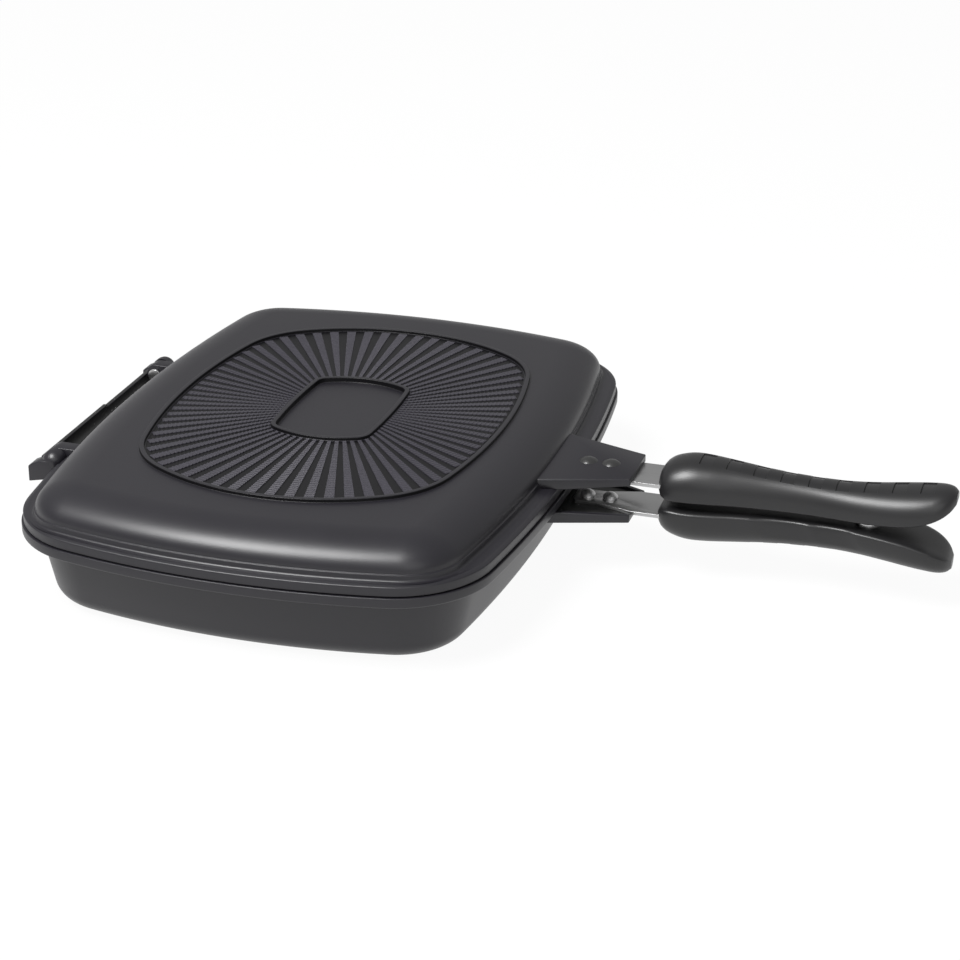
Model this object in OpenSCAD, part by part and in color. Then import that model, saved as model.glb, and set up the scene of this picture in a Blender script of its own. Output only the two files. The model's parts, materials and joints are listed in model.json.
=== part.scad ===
// Double-sided flip pan: two shallow cast pans hinged at the back, each with its own half handle.
// +X runs from the hinge to the handles, +Z is up, and the origin is the centre of the resting face.

/* [Pans] */
// Front-to-back size of the pans over the rims
pan_depth = 240.6; // [230:0.2:252]
// Side-to-side size of the pans over the rims
pan_width = 310.6; // [306:0.2:324]
// Radius of the rounded corners of the rims
corner_r = 46.8; // [42:0.2:50]
// How far the front and back edges bow outwards
front_bow = 14.6; // [11:0.2:18]
// How far the left and right edges bow outwards
side_bow = 19.8; // [15:0.1:24]
// Thickness of the cast walls
wall = 3.5; // [3:0.1:4]
// Height of the lower pan, from the resting face to the top of its rim
lower_h = 40; // [37:0.5:46]
// Height of the upper pan's dome above the seam
dome_h = 21.1; // [19:0.1:24]

/* [Rims] */
// Gap between the two rims when the pan is shut
seam_gap = 0.5; // [0.4:0.1:0.8]
// How far the lower rim stands out past the upper rim
rim_step = 0.9; // [0.4:0.1:1.4]
// Height of the lower rim band
lower_rim_h = 5; // [4.5:0.1:6]
// Height of the upper rim above the seam
upper_rim_h = 5.2; // [4.8:0.1:5.8]
// Distance from the rim edge to the lower pan's outer wall, under the rim
ledge_inset = 7.6; // [7.2:0.1:9]
// How far the lower pan's wall leans in on its way down
wall_draft = 6.8; // [4:0.1:9]
// Outer radius where the lower pan's wall meets its bottom
bottom_r = 10; // [8:0.5:13]

/* [Dome] */
// Half the front-to-back size of the dome at its foot
dome_half_x = 113.2; // [112:0.1:114.4]
// Half the side-to-side size of the dome at its foot
dome_half_y = 150.5; // [148:0.1:151.4]
// How far the front and back of the dome bow outwards
dome_front_bow = 15.6; // [13:0.1:18]
// How far the left and right ends of the dome bow outwards
dome_side_bow = 17.8; // [15:0.1:20]
// Radius of the dome's corners
dome_corner_r = 29; // [27:1:33]
// How far the dome lies behind the middle of the rims, towards the hinge
dome_back = 0.4; // [0:0.1:0.8]
// Height of the step at the foot of the dome above the seam
foot_h = 8.5; // [7.5:0.1:9.5]
// Width of the ledge on that step
ledge_w = 0.9; // [0.6:0.1:1.2]
// Width of the dome's oval shoulder
shoulder_w = 23; // [20:0.5:23.5]
// Distance from the foot of the dome to the upper pan's inner wall, at the seam
cavity_inset = 3.4; // [3:0.1:4]

/* [Face relief] */
// Height of the raised ring and of the centre border
relief_h = 1.6; // [1:0.1:2]
// Width of the raised ring
ring_w = 2.4; // [1.8:0.1:3.2]
// Half the front-to-back size of the ring
ring_half_x = 84; // [76:0.5:85]
// Half the side-to-side size of the ring
ring_half_y = 110.3; // [98:0.1:116]
// How far the ring and the centre lie ahead of the middle of the rims
face_ahead = 2.5; // [0:0.1:3]
// How far the front and back of the ring bow outwards
ring_front_bow = 20.5; // [17:0.1:24]
// How far the left and right ends of the ring bow outwards
ring_side_bow = 41; // [36:0.1:43]
// Radius of the ring's rounded corners
ring_corner_r = 46; // [38:0.5:50]
// Half the front-to-back size of the centre border
recess_half_x = 26.5; // [22:0.5:34]
// Half the side-to-side size of the centre border
recess_half_y = 39.5; // [32:0.5:48]
// How far the front and back of the centre border bow outwards
recess_front_bow = 2.2; // [1:0.1:4]
// How far the left and right ends of the centre border bow outwards
recess_side_bow = 6.5; // [4:0.1:8]
// Radius of the centre border's rounded corners
recess_corner_r = 8; // [6:0.5:12]
// Depth of the centre recess under the dome's flat top
recess_depth = 0.8; // [0.4:0.1:1.2]

/* [Seal] */
// Distance from the rim edge to the seal groove
groove_inset = 5.2; // [5:0.1:5.4]
// Width of the seal groove
groove_w = 3; // [2.8:0.1:3.1]
// Depth of the seal groove
groove_d = 2.6; // [2:0.1:3]
// How far the seal stands up out of its groove
seal_proud = 0.2; // [0.1:0.05:0.2]
// Clearance between the seal and the sides of its groove
seal_gap = 0.1; // [0.05:0.05:0.2]

/* [Hinge] */
// Distance from the rim edge back to the hinge axis
hinge_back = 1.5; // [1.2:0.1:1.8]
// Height of the hinge axis above the seam
hinge_up = 3.9; // [3.7:0.1:4.1]
// Radius of the hinge pins
pin_r = 2; // [1.6:0.1:2.4]
// Radial running clearance between a pin and its ear
run_gap = 0.06; // [0.03:0.01:0.09]
// Radius of the ears round the pins
ear_r = 5.2; // [4.8:0.1:5.4]
// Radius of the stop lobe on each ear
lobe_r = 6.6; // [6.4:0.1:7]
// Inner radius of the drip trough and of the ear pockets
trough_r = 5.8; // [5.6:0.1:6]
// Thickness of the trough wall
trough_wall = 2.2; // [1.8:0.1:2.8]
// Distance from the middle of the pan to the inner face of an ear
ear_y = 53.4; // [46:0.2:58]
// Width of an ear
ear_w = 8; // [6:0.5:9]
// Width of a lug
lug_w = 8; // [6:0.5:9]
// Side clearance between an ear and its neighbours
ear_gap = 0.5; // [0.4:0.1:0.8]
// How far the tail of a lug reaches behind the hinge axis
tail_reach = 11.6; // [9:0.2:14]
// Height of the blunt end of a lug's tail
tail_end_h = 8; // [6:0.2:9]
// How far the top of the tail's end lies under the hinge axis
tail_drop = 2.4; // [1.6:0.1:3.2]
// Length of a hinge pin inside its lug
pin_grip = 5.6; // [4:0.1:6.4]
// How far the lid opens, in degrees
open_angle = 105; // [95:1:110]

/* [Handle brackets] */
// Length of a bracket past the rim
bracket_len = 32.2; // [28:0.2:36]
// Half the width of a bracket where it leaves the pan
bracket_root_half = 25.9; // [22:0.1:28]
// Half the width of a bracket at its free end
bracket_tip_half = 15.4; // [14.2:0.2:17]
// Thickness of a bracket's plate
bracket_plate = 2.8; // [2.4:0.1:3.2]
// Thickness of a bracket's side walls
bracket_wall = 2.8; // [2.2:0.1:3]
// Height of a bracket's side wall at the pan, over its plate
bracket_root_h = 5.6; // [5.5:0.1:6]
// Height of a bracket's side wall at its free end, over its plate
bracket_tip_h = 3.8; // [3.4:0.1:4.4]
// Distance from the handle's middle plane to the outer face of a bracket
bracket_half_h = 11.4; // [10.8:0.1:12]
// Drop from the seam to the handle's middle plane
handle_drop = 0.8; // [0.4:0.1:0.9]

/* [Handle strips and rivets] */
// Thickness of the steel strips
strip_t = 1.8; // [1.5:0.1:2]
// Half the width of a strip between bracket and grip
strip_half = 11.8; // [10.5:0.1:12.2]
// Half the width of a strip's riveted tongue and of its tang in the grip
tang_half = 7; // [6:0.1:7.5]
// Radius of the rivet shanks
rivet_r = 2.2; // [1.8:0.1:2.5]
// Radius of the domed rivet heads
rivet_head_r = 4.4; // [3.8:0.1:4.8]
// Height of the domed rivet heads
rivet_head_h = 1.8; // [1.4:0.1:2.2]
// Radius of the peened tails and of the washers under them
tail_r = 3.6; // [3.2:0.1:3.8]
// Thickness of the washers
washer_t = 1.2; // [0.8:0.1:1.4]
// Height of the peened tails
tail_h = 1.9; // [1.4:0.1:2.1]
// Distance from the rim edge to the first rivet
rivet_x = 7.9; // [7.4:0.1:8.6]
// Distance between the two rivets of a bracket
rivet_pitch = 11.2; // [10:0.1:13]

/* [Grips] */
// Distance from the rim edge to the front of the grips
grip_start = 44.7; // [40:0.1:50]
// Length of the grips
grip_len = 138; // [124:1:150]
// Half the gap between the two grips
grip_gap_half = 1.8; // [1.6:0.1:2.2]
// Depth of the finger waves across the back of a grip
wave_depth = 0.7; // [0.4:0.1:1]
// Length of one finger wave along the grip
wave_len = 6.4; // [5:0.1:7.5]
// Half the width of a finger wave across the grip
wave_half = 6.5; // [5:0.1:7]
// Distance from the front of a grip to its first finger wave
wave_at = 21.4; // [18:0.2:25]
// Distance between the finger waves
wave_pitch = 12.9; // [11:0.1:14]
// Clearance round a strip's tang in its grip
tang_gap = 0.1; // [0.05:0.05:0.2]
// Radius of the grip screws
screw_r = 1.9; // [1.6:0.1:2.1]
// Radius of the grip screws' heads
screw_head_r = 3.6; // [3.2:0.1:4]
// Height of the grip screws' heads
screw_head_h = 2.2; // [1.8:0.1:2.6]
// Radius of the magnets that hold the grips together
magnet_r = 6; // [5:0.2:7]
// Thickness of the magnets
magnet_t = 4; // [3.4:0.1:4.4]
// How far a magnet stands out of its grip
magnet_proud = 1.3; // [1:0.1:1.4]
// Distance from the front of a grip to its magnet
magnet_at = 98; // [86:1:104]
// Distance from the front of a grip to its first screw
screw_at = 20; // [16:1:24]
// Distance between the two screws of a grip
screw_pitch = 32; // [24:1:36]
// Length of a strip's tang inside its grip
tang_len = 66; // [64:1:74]

/* [Hidden] */
$fn = 96;

eps = 0.01;
over = 1;
rim = [pan_depth / 2, pan_width / 2, front_bow, side_bow, corner_r, 0];
lower_rim = grown(rim, rim_step);
dome = [dome_half_x, dome_half_y, dome_front_bow, dome_side_bow, dome_corner_r, -dome_back];
ring = [ring_half_x, ring_half_y, ring_front_bow, ring_side_bow, ring_corner_r, face_ahead];
recess = [recess_half_x, recess_half_y, recess_front_bow, recess_side_bow, recess_corner_r, face_ahead];

seam_z = lower_h;
handle_z = seam_z - handle_drop;
rim_lip = 1.8;
step_lean = 0.3;
rim_edge = 0.6;
ledge_fillet = [1.5, 1];
outline_steps = [3, 5, 4];

hinge_x = -pan_depth / 2 - hinge_back;
hinge_z = seam_z + hinge_up;
trough_top = -0.6;
trough_step = 1;
trough_step_y = 7;
lug_y = ear_y + ear_w + ear_gap;
pin_len = ear_w + ear_gap + pin_grip;
pin_head_r = pin_r + 1.4;
pin_head_h = 1.6;
pin_end_gap = 0.3;
stop_angle = 180 - asin((trough_top + trough_step) / lobe_r) - 1;
lobe_start = stop_angle - open_angle;
lobe_end = 50;
lug_boss_r = ear_r + 0.3;
lug_under_rim = 2.4;
lug_under_gap = 0.3;
lug_root = hinge_back + ledge_inset + 1.5;

bracket_x = pan_depth / 2 + bracket_len;
rivets = [for (i = [0, 1]) pan_depth / 2 + rivet_x + i * rivet_pitch];
grip_x = pan_depth / 2 + grip_start;
screws = [for (i = [0, 1]) grip_x + screw_at + i * screw_pitch];
magnet_x = grip_x + magnet_at;
shoulder = [4, 10];
tongue_len = 14;
tang_corner = 2;
screw_reach = 7;
wave_end = 7;
wave_count = 1 + floor((grip_len - wave_at - wave_end) / wave_pitch);
grip_under_round = 0.35;
grip_side_round = 0.85;
grip_edge_h = 0.12;
slot_half = [2.2, 0.45];
bracket_clear = 0.4;
bracket_tip_lean = 2;
tall = 20;

// Outlines. A shape is [half depth, half width, front bow, side bow, corner radius, place along X].
function grown(s, d) = [s[0] + d, s[1] + d, s[2], s[3], s[4] + d, s[5]];
// How far the front or back of a shape has curved away, y to one side of its middle
function recede(s, y) = front_r(s) - sqrt(front_r(s) ^ 2 - y ^ 2);
function front_r(s) = (s[1] ^ 2 + s[2] ^ 2) / (2 * s[2]);
function side_r(s) = (s[0] ^ 2 + s[3] ^ 2) / (2 * s[3]);
function front_c(s) = [s[0] - front_r(s), 0];
function side_c(s) = [0, s[1] - side_r(s)];
function corner_c(s) = let (
        r1 = front_r(s) - s[4], r2 = side_r(s) - s[4],
        d = side_c(s) - front_c(s), l = norm(d),
        m = (r1 ^ 2 - r2 ^ 2 + l ^ 2) / (2 * l), h = sqrt(r1 ^ 2 - m ^ 2))
    front_c(s) + d / l * m + [-d[1], d[0]] / l * h;
function toward(a, b) = atan2(b[1] - a[1], b[0] - a[0]);
function arc(c, r, a0, a1, n) = [for (i = [0 : n]) let (t = a0 + (a1 - a0) * i / n)
    c + r * [cos(t), sin(t)]];
function quarter(s, inset) = let (k = corner_c(s), n = outline_steps,
        t1 = toward(front_c(s), k), t2 = toward(side_c(s), k),
        front = arc(front_c(s), front_r(s) - inset, 0, t1, n[0]),
        corner = arc(k, s[4] - inset, t1, t2, n[1]),
        side = arc(side_c(s), side_r(s) - inset, t2, 90, n[2]))
    [each front, each tail(corner), each tail(side)];
function tail(p) = [for (i = [1 : len(p) - 1]) p[i]];
function mirrored(p, sx, sy) = [for (i = [1 : len(p) - 1])
    let (q = p[sx * sy > 0 ? i : len(p) - 1 - i]) [sx * q[0], sy * q[1]]];
function outline(s, inset) = let (q = quarter(s, inset))
    [each mirrored(q, 1, 1), each mirrored(q, -1, 1),
        each mirrored(q, -1, -1), each mirrored(q, 1, -1)];

// Lofts through outlines. Each row of a loft is [shape, inset, height].
function on(s, section) = [for (p = section) [s, p[0], p[1]]];
function loft_points(rows) = [for (r = rows) each
    [for (q = outline(r[0], r[1])) [q[0] + r[0][5], q[1], r[2]]]];
function loft_faces(rows, n, closed) = [
    for (j = [0 : rows - (closed ? 1 : 2)], i = [0 : n - 1])
        let (k = (i + 1) % n, a = j * n, b = ((j + 1) % rows) * n)
            each [[a + i, b + i, b + k], [a + i, b + k, a + k]]];
// From a flat face that looks down, round the rim, to one that looks up
module casting(rows) {
    n = len(outline(rim, 0));
    polyhedron(points = loft_points(rows), faces = concat(
        [[for (i = [0 : n - 1]) i]],
        loft_faces(len(rows), n, false),
        [[for (i = [0 : n - 1]) len(rows) * n - 1 - i]]));
}
module ring_of(rows) {
    polyhedron(points = loft_points(rows), faces = loft_faces(len(rows), len(outline(rim, 0)), true));
}
// Half sections of the two castings, in [inset from the rim edge, height over the seam]
function oval(top, foot, n) = [for (i = [0 : n]) let (t = 90 * i / n)
    [top[0] + (foot[0] - top[0]) * sin(t), foot[1] + (top[1] - foot[1]) * cos(t)]];
shoulder_top = ledge_w + shoulder_w;
cavity_section = [each oval([shoulder_top, dome_h - wall], [cavity_inset, seam_gap + wall], 5),
    [cavity_inset, seam_gap]];
flange_section = [[0, seam_gap], each arc([rim_lip, upper_rim_h - rim_lip], rim_lip, 180, 90, 2)];
dome_section = [[0, upper_rim_h], [step_lean, foot_h],
    each reversed(oval([shoulder_top, dome_h], [ledge_w, foot_h], 7))];

floor_z = relief_h - lower_h;
wall_top = [ledge_inset + rim_step, -lower_rim_h - ledge_fillet[1]];
wall_foot = [ledge_inset + rim_step + wall_draft, floor_z];
lean = atan2(wall_top[1] - wall_foot[1], wall_foot[0] - wall_top[0]);
floor_c = [wall_foot[0] + bottom_r * tan(lean / 2), floor_z + bottom_r];
lower_section = [
    each arc(floor_c, bottom_r, 270, 270 - lean, 4),
    wall_top, [wall_top[0] - ledge_fillet[0], -lower_rim_h],
    [rim_edge, -lower_rim_h], [0, rim_edge - lower_rim_h], [0, 0],
    [groove_inset, 0], [groove_inset, -groove_d],
    [groove_inset + groove_w, -groove_d], [groove_inset + groove_w, 0],
    [wall_top[0] + wall / sin(lean) + wall_top[1] / tan(lean), 0],
    each arc(floor_c, bottom_r - wall, 270 - lean, 270, 3)];

// A raised ring round a centre, from the plain face at z out to z + h
function ring_rows(z, h) = [[ring, ring_w, z], [ring, ring_w, z + h], [ring, 0, z + h], [ring, 0, z]];
lower_rows = [[recess, 0, -lower_h], [recess, 0, floor_z], each ring_rows(floor_z, -relief_h),
    each on(lower_rim, lower_section)];
upper_rows = [each on(dome, cavity_section), each on(rim, flange_section), each on(dome, dome_section),
    each reversed(ring_rows(dome_h, relief_h)),
    [recess, 0, dome_h], [recess, 0, dome_h + relief_h], [recess, ring_w, dome_h + relief_h],
    [recess, ring_w, dome_h - recess_depth]];
function reversed(p) = [for (i = [len(p) - 1 : -1 : 0]) p[i]];

// Places children at the left and right ends of the hinge, as seen from the handles.
module both_ends() {
    children();
    mirror([0, 1, 0]) children();
}
// A cylinder along Y from y0 to y1 on the hinge axis
module hinge_rod(r, y0, y1) {
    translate([hinge_x, y1, hinge_z]) rotate([90, 0, 0]) cylinder(r = r, h = y1 - y0);
}
module lug() {
    ledge = hinge_back - rim_step + recede(rim, lug_y + lug_w / 2) + groove_inset / 2;
    rim_top = -hinge_up - lug_under_gap;
    rim_under = -hinge_up - lower_rim_h + lug_under_gap;
    translate([hinge_x, lug_y + lug_w, hinge_z]) rotate([90, 0, 0]) linear_extrude(lug_w)
        polygon([[-tail_reach, -tail_drop - tail_end_h], [-tail_reach, -tail_drop],
            [-tail_reach + 1.2, -tail_drop + 0.9], [-lug_boss_r, 1.4], [0, 1.4],
            [pin_r, rim_top], [ledge, rim_top], [ledge, rim_under], [lug_root, rim_under],
            [lug_root, rim_under - lug_under_rim], [-pin_r, 2 - tail_drop - tail_end_h]]);
    hinge_rod(lug_boss_r, lug_y, lug_y + lug_w);
}
module ear() {
    root = -hinge_x - dome_half_x - dome_back + recede(dome, ear_y + ear_w) + over;
    hinge_rod(ear_r, ear_y, ear_y + ear_w);
    translate([hinge_x, ear_y + ear_w, hinge_z]) rotate([90, 0, 0]) linear_extrude(ear_w)
        polygon([[0, seam_gap - hinge_up], each arc([0, 0], lobe_r, lobe_start, lobe_end, 6),
            [root, lobe_r * sin(lobe_end)], [root, seam_gap - hinge_up]]);
}
module trough() {
    wide = 2 * (trough_r + trough_wall) + over;
    difference() {
        hinge_rod(trough_r + trough_wall, -lug_y - over, lug_y + over);
        translate([hinge_x - wide / 2, -lug_y - 2 * over, hinge_z + trough_top + trough_step])
            cube([wide, lug_y + 2 * over + trough_step_y, wide]);
        translate([hinge_x - wide / 2, trough_step_y - eps, hinge_z + trough_top])
            cube([wide, lug_y + over, wide]);
        translate([hinge_x, -lug_y - 2 * over, seam_z - lug_under_gap])
            cube([wide, 3 * lug_y, wide]);
        translate([groove_inset / 2 - lower_rim[0], -lug_y - 2 * over, hinge_z - wide])
            cube([wide, 3 * lug_y, 2 * wide]);
    }
}

// A bracket lies on the upper side of the handle's middle plane; side = -1 gives the lower one.
function taper(x) = bracket_root_half
    + (bracket_tip_half - bracket_root_half) * (x - pan_depth / 2) / bracket_len;
module on_side(side) {
    translate([0, 0, handle_z]) mirror([0, 0, side > 0 ? 0 : 1]) children();
}
module bracket_plan(x0, x1, z0, h, inset = 0) {
    translate([0, 0, z0]) linear_extrude(h)
        polygon([[x0, -taper(x0) + inset], [x1, -taper(x1) + inset],
            [x1, taper(x1) - inset], [x0, taper(x0) - inset]]);
}
module bracket(x0) {
    top = bracket_half_h;
    difference() {
        intersection() {
            bracket_plan(x0, bracket_x + over, 0, tall);
            translate([0, bracket_root_half * 2, 0]) rotate([90, 0, 0])
                linear_extrude(bracket_root_half * 4)
                    polygon([[x0, top], [bracket_x, top],
                        [bracket_x - bracket_tip_lean, top - bracket_tip_h],
                        [pan_depth / 2, top - bracket_root_h], [x0, top - bracket_root_h]]);
        }
        bracket_plan(pan_depth / 2 + rim_step + bracket_clear, bracket_x + 2 * over,
            0, top - bracket_plate, bracket_wall);
    }
}
module at_rivets(z) {
    for (x = rivets) translate([x, 0, z]) children();
}
module rivet_holes() {
    at_rivets(0) cylinder(r = rivet_r, h = tall, $fn = 48);
}

// Castings
module lower_pan() {
    color("dimgray") difference() {
        union() {
            translate([0, 0, seam_z]) casting(lower_rows);
            trough();
            both_ends() lug();
            on_side(-1) bracket(pan_depth / 2 - ledge_inset - wall / 2);
        }
        hinge_rod(trough_r, -lug_y, lug_y);
        both_ends() hinge_rod(pin_r, lug_y - over, ear_y + pin_len);
        on_side(-1) rivet_holes();
    }
}
module upper_pan() {
    color("dimgray") difference() {
        union() {
            translate([0, 0, seam_z]) casting(upper_rows);
            both_ends() ear();
            on_side(1) bracket(dome_half_x - dome_back - cavity_inset + 0.2);
        }
        hinge_rod(trough_r, -ear_y, ear_y);
        both_ends() hinge_rod(lug_boss_r + ear_gap, ear_y + ear_w, lug_y + lug_w + ear_gap);
        both_ends() hinge_rod(pin_r + run_gap, ear_y - over, lug_y);
        on_side(1) rivet_holes();
    }
}
// Silicone seal, round-topped, in the groove of the lower rim
module rim_seal() {
    half = groove_w / 2;
    color("black") translate([0, 0, seam_z]) ring_of(on(lower_rim, [
        [groove_inset + seal_gap, eps - groove_d],
        each arc([groove_inset + half, seal_proud - half + seal_gap], half - seal_gap, 180, 0, 4),
        [groove_inset + groove_w - seal_gap, eps - groove_d]]));
}

// Hinge pins: headed on the trough side, pressed into the lugs
module hinge_pin() {
    hinge_rod(pin_r, ear_y - ear_gap, ear_y + pin_len - pin_end_gap);
    hinge_rod(pin_head_r, ear_y - ear_gap - pin_head_h, ear_y - ear_gap);
}
module left_hinge_pin() {
    color("silver") hinge_pin();
}
module right_hinge_pin() {
    color("silver") mirror([0, 1, 0]) hinge_pin();
}

// Handle parts, drawn for the upper side of the handle's middle plane
strip_top = bracket_half_h - bracket_plate;
module strip() {
    x0 = pan_depth / 2 + rim_step + 0.6;
    xb = bracket_x - 1;
    xt = grip_x + tang_len;
    c = tang_corner;
    difference() {
        translate([0, 0, strip_top - strip_t]) linear_extrude(strip_t)
            polygon([for (side = [-1, 1]) let (half = [
                    [x0, tang_half - c], [x0 + c, tang_half], [x0 + tongue_len, tang_half],
                    [xb, strip_half], [grip_x + shoulder[0], strip_half],
                    [grip_x + shoulder[1], tang_half], [xt - c, tang_half], [xt, tang_half - c]])
                for (i = [0 : len(half) - 1]) let (q = half[side < 0 ? i : len(half) - 1 - i])
                    [q[0], side * q[1]]]);
        rivet_holes();
        for (x = screws) translate([x, 0, 0]) cylinder(r = screw_r, h = tall, $fn = 48);
    }
}
module dome_cap(r, h) {
    ball = (r ^ 2 + h ^ 2) / (2 * h);
    rotate_extrude() polygon(concat([[0, 0]],
        [for (i = [0 : 8]) let (t = asin(r / ball) * (1 - i / 8))
            [ball * sin(t), ball * cos(t) - ball + h]]));
}
module rivets_of() {
    at_rivets(strip_top - strip_t - washer_t)
        cylinder(r = rivet_r, h = strip_t + washer_t + bracket_plate, $fn = 48);
    at_rivets(bracket_half_h) dome_cap(rivet_head_r, rivet_head_h);
    at_rivets(strip_top - strip_t - washer_t) mirror([0, 0, 1]) dome_cap(tail_r, tail_h);
}
module washers_of() {
    at_rivets(strip_top - strip_t - washer_t) difference() {
        cylinder(r = tail_r + 0.1, h = washer_t, $fn = 64);
        translate([0, 0, -over]) cylinder(r = rivet_r, h = washer_t + 2 * over, $fn = 48);
    }
}

// A grip's cross sections: [share of the length, half width, inner face, height over the inner face]
grip_rows = [[0, 9.5, 3.4, 8], [0.012, 13, 1.2, 12.6], [0.04, 15.6, 0, 16.4], [0.1, 16.4, 0, 18.6],
    [0.17, 15.4, 0, 18.6], [0.26, 13.2, 0, 17.6], [0.38, 11.4, 0, 16], [0.5, 10.9, 0, 15],
    [0.61, 11.7, 0, 14.6], [0.7, 13.2, 0.1, 15], [0.78, 14.6, 0.8, 15.4], [0.85, 15.2, 2, 15.4],
    [0.91, 14.6, 4.2, 14.2], [0.955, 12.6, 7, 12], [0.985, 9, 10, 8.6], [1, 5, 12.6, 4.6]];
grip_sides = 20;
function grip_ring(row) = let (x = grip_x + row[0] * grip_len, n = grip_sides)
    [for (i = [0 : n - 1]) let (t = 360 * i / n, c = cos(t), s = sin(t))
        [x, row[1] * sign(c) * abs(c) ^ (s < 0 ? grip_under_round : grip_side_round),
            grip_gap_half + row[2] + row[3] * (grip_edge_h
                + (s < 0 ? -grip_edge_h : 1 - grip_edge_h) * abs(s) ^ grip_side_round)]];
module grip_blank() {
    n = grip_sides;
    rows = len(grip_rows);
    points = [for (row = grip_rows) each grip_ring(row)];
    polyhedron(points = points, faces = concat(
        [[for (i = [0 : n - 1]) i]],
        [for (j = [0 : rows - 2], i = [0 : n - 1]) let (k = (i + 1) % n, a = j * n, b = a + n)
            each [[a + i, b + i, b + k], [a + i, b + k, a + k]]],
        [[for (i = [0 : n - 1]) rows * n - 1 - i]]));
}
function back_h(u) = lookup(u, [for (r = grip_rows) [r[0], grip_gap_half + r[2] + r[3]]]);
module waves() {
    for (i = [0 : wave_count - 1]) let (at = wave_at + i * wave_pitch)
        translate([grip_x + at - wave_len / 2, -wave_half, back_h(at / grip_len) - wave_depth])
            cube([wave_len, 2 * wave_half, tall]);
}
module tang_slot() {
    w0 = strip_half + tang_gap;
    w1 = tang_half + tang_gap;
    x1 = grip_x + shoulder[0] + tang_gap;
    x2 = grip_x + shoulder[1] + tang_gap;
    xt = grip_x + tang_len + tang_gap;
    translate([0, 0, strip_top - strip_t - tang_gap]) linear_extrude(strip_t + 2 * tang_gap)
        polygon([[grip_x - over, -w0], [x1, -w0], [x2, -w1], [xt, -w1],
            [xt, w1], [x2, w1], [x1, w0], [grip_x - over, w0]]);
}
module grip_of() {
    difference() {
        grip_blank();
        waves();
        tang_slot();
        for (x = screws) translate([x, 0, 0]) {
            cylinder(r = screw_r, h = strip_top + screw_reach, $fn = 48);
            cylinder(r = screw_head_r, h = grip_gap_half + screw_head_h + 0.2, $fn = 64);
        }
        translate([magnet_x, 0, 0])
            cylinder(r = magnet_r, h = grip_gap_half + magnet_t - magnet_proud, $fn = 64);
    }
}
module screws_of() {
    for (x = screws) translate([x, 0, grip_gap_half + 0.2]) {
        difference() {
            cylinder(r = screw_head_r, h = screw_head_h, $fn = 64);
            for (turn = [0, 90]) rotate([0, 0, turn])
                translate([-slot_half[0], -slot_half[1], -over])
                    cube([2 * slot_half[0], 2 * slot_half[1], over + 1]);
        }
        translate([0, 0, screw_head_h])
            cylinder(r = screw_r, h = strip_top + screw_reach - grip_gap_half - screw_head_h - 0.6,
                $fn = 48);
    }
}
module magnet_of() {
    translate([magnet_x, 0, grip_gap_half - magnet_proud])
        cylinder(r = magnet_r, h = magnet_t, $fn = 64);
}

module lower_strip() {
    color("silver") on_side(-1) strip();
}
module upper_strip() {
    color("silver") on_side(1) strip();
}
module lower_rivets() {
    color("gainsboro") on_side(-1) rivets_of();
}
module upper_rivets() {
    color("gainsboro") on_side(1) rivets_of();
}
module lower_rivet_washers() {
    color("gainsboro") on_side(-1) washers_of();
}
module upper_rivet_washers() {
    color("gainsboro") on_side(1) washers_of();
}
module lower_grip() {
    color("black") on_side(-1) grip_of();
}
module upper_grip() {
    color("black") on_side(1) grip_of();
}
module lower_grip_screws() {
    color("gray") on_side(-1) screws_of();
}
module upper_grip_screws() {
    color("gray") on_side(1) screws_of();
}
module lower_magnet() {
    color("darkgray") on_side(-1) magnet_of();
}
module upper_magnet() {
    color("darkgray") on_side(1) magnet_of();
}

lower_pan();
upper_pan();
rim_seal();
left_hinge_pin();
right_hinge_pin();
lower_strip();
upper_strip();
lower_rivets();
upper_rivets();
lower_rivet_washers();
upper_rivet_washers();
lower_grip();
upper_grip();
lower_grip_screws();
upper_grip_screws();
lower_magnet();
upper_magnet();
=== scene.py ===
# Double sided flip pan: two cast pans hinged at the back, a split handle in front.
# Sizes are in millimetres, measured from the frame's origin, until a mesh is made from them.
import json
import math

import bmesh
import bpy
import numpy as np
from mathutils import Matrix, Vector


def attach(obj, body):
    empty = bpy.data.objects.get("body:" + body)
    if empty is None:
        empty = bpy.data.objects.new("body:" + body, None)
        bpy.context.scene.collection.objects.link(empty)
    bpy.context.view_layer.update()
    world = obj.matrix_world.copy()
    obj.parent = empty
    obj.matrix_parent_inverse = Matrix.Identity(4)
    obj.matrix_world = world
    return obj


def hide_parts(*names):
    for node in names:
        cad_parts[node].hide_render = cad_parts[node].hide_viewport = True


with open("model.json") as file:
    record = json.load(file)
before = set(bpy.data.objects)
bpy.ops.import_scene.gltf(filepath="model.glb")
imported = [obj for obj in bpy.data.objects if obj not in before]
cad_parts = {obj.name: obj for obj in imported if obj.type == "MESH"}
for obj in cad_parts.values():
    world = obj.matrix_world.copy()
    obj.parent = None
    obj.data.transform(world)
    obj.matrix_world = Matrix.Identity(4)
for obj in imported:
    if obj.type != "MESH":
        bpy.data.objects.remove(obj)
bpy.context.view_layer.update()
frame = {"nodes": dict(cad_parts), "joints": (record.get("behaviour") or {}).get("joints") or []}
hinge = [1000 * value for value in frame["joints"][0]["pos_m"]]
print("frame loaded, hinge at", [round(value, 1) for value in hinge])


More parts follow.
